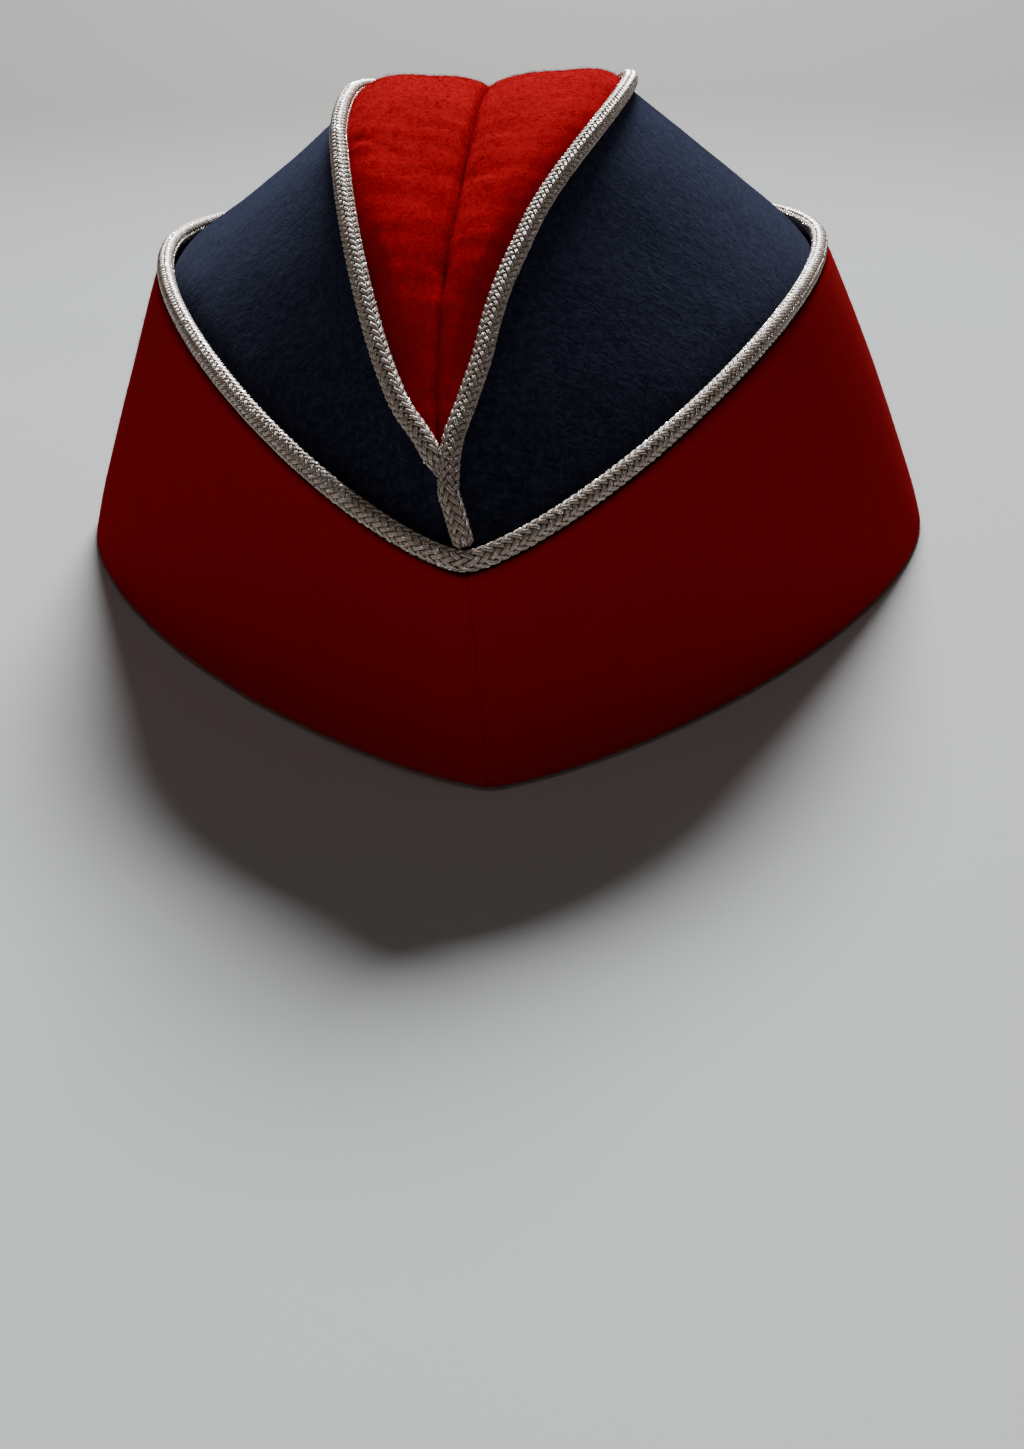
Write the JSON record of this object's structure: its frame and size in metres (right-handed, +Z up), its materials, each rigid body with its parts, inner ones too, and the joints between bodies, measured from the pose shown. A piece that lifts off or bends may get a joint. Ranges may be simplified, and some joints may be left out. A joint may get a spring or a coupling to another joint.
{
  "type": "side cap",
  "caption": "Wool side cap: navy sides, puffed scarlet crown with a centre seam, turned-up scarlet flap, and silver piping along its seams and edge.",
  "frame": {"origin": "middle of the rim's length and width, on the surface that the cap rests on", "axes": "+Z up, +Y towards the wearer's front, +X towards the wearer's right"},
  "size_m": [0.177, 0.2492, 0.088],
  "materials": {
    "scarlet_wool": "soft napped wool",
    "navy_wool": "fine napped wool",
    "silver_piping": "braided metallic thread"
  },
  "bodies": {
    "root": {"side_left": "navy_wool", "side_right": "navy_wool", "crown_left": "scarlet_wool", "crown_right": "scarlet_wool", "flap_left": "scarlet_wool", "flap_right": "scarlet_wool", "crown_piping_left": "silver_piping", "crown_piping_right": "silver_piping", "flap_piping": "silver_piping"}
  },
  "joints": []
}
